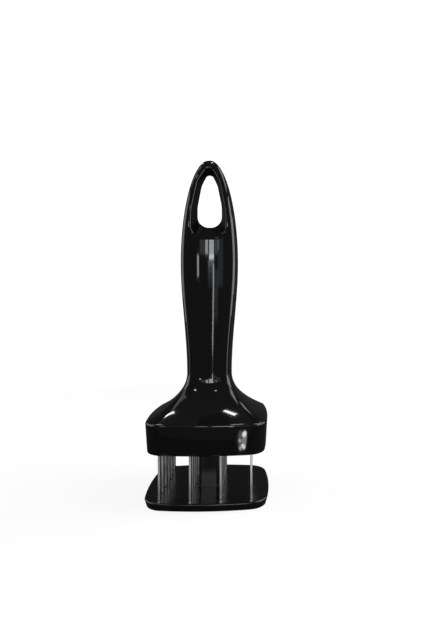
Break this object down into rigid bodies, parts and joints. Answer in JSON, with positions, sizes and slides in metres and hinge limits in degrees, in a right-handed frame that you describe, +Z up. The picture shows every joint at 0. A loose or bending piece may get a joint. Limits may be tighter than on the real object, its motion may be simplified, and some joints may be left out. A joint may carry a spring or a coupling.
{
  "type": "blade meat tenderizer",
  "caption": "Push-down hand tenderizer: a long handle with a hanging hole, a belled collar that holds rows of steel blades, and a sprung slotted guard plate.",
  "frame": {"origin": "middle of the guard plate's underside, where the tool stands", "axes": "+Z up along the handle, -Y towards the front face, +X to the right seen from the front"},
  "size_m": [0.068, 0.0624, 0.19],
  "materials": {
    "shell_plastic": "high gloss black moulded plastic",
    "guard_plastic": "gloss black moulded plastic",
    "holder_plastic": "satin black moulded plastic",
    "blade_steel": "ground stainless strip",
    "screw_steel": "plain stainless",
    "spring_steel": "drawn spring wire"
  },
  "bodies": {
    "handle": {"front_shell": "shell_plastic", "rear_shell": "shell_plastic", "blade_holder": "holder_plastic", "blade_clamp_plate": "holder_plastic", "clamp_screws": "screw_steel", "return_spring": "spring_steel", "blade_row1_col1": "blade_steel", "blade_row1_col2": "blade_steel", "blade_row1_col3": "blade_steel", "blade_row1_col4": "blade_steel", "blade_row2_col1": "blade_steel", "blade_row2_col2": "blade_steel", "blade_row2_col3": "blade_steel", "blade_row2_col4": "blade_steel", "blade_row3_col1": "blade_steel", "blade_row3_col2": "blade_steel", "blade_row3_col3": "blade_steel", "blade_row3_col4": "blade_steel", "blade_row4_col1": "blade_steel", "blade_row4_col2": "blade_steel", "blade_row4_col3": "blade_steel", "blade_row4_col4": "blade_steel", "blade_row5_col1": "blade_steel", "blade_row5_col2": "blade_steel", "blade_row5_col3": "blade_steel", "blade_row5_col4": "blade_steel", "blade_row6_col1": "blade_steel", "blade_row6_col2": "blade_steel", "blade_row6_col3": "blade_steel", "blade_row6_col4": "blade_steel"},
    "guard": {"guard": "guard_plastic", "retaining_washer": "screw_steel", "retaining_screw": "screw_steel"}
  },
  "joints": [
    {"name": "guard_slide", "type": "slide", "parent": "handle", "child": "guard", "axis": [0, 0, 1], "range_m": [0, 0.0238], "stiffness_N_per_m": 1365, "springref_m": -0.0064, "deforming": ["return_spring"]}
  ]
}
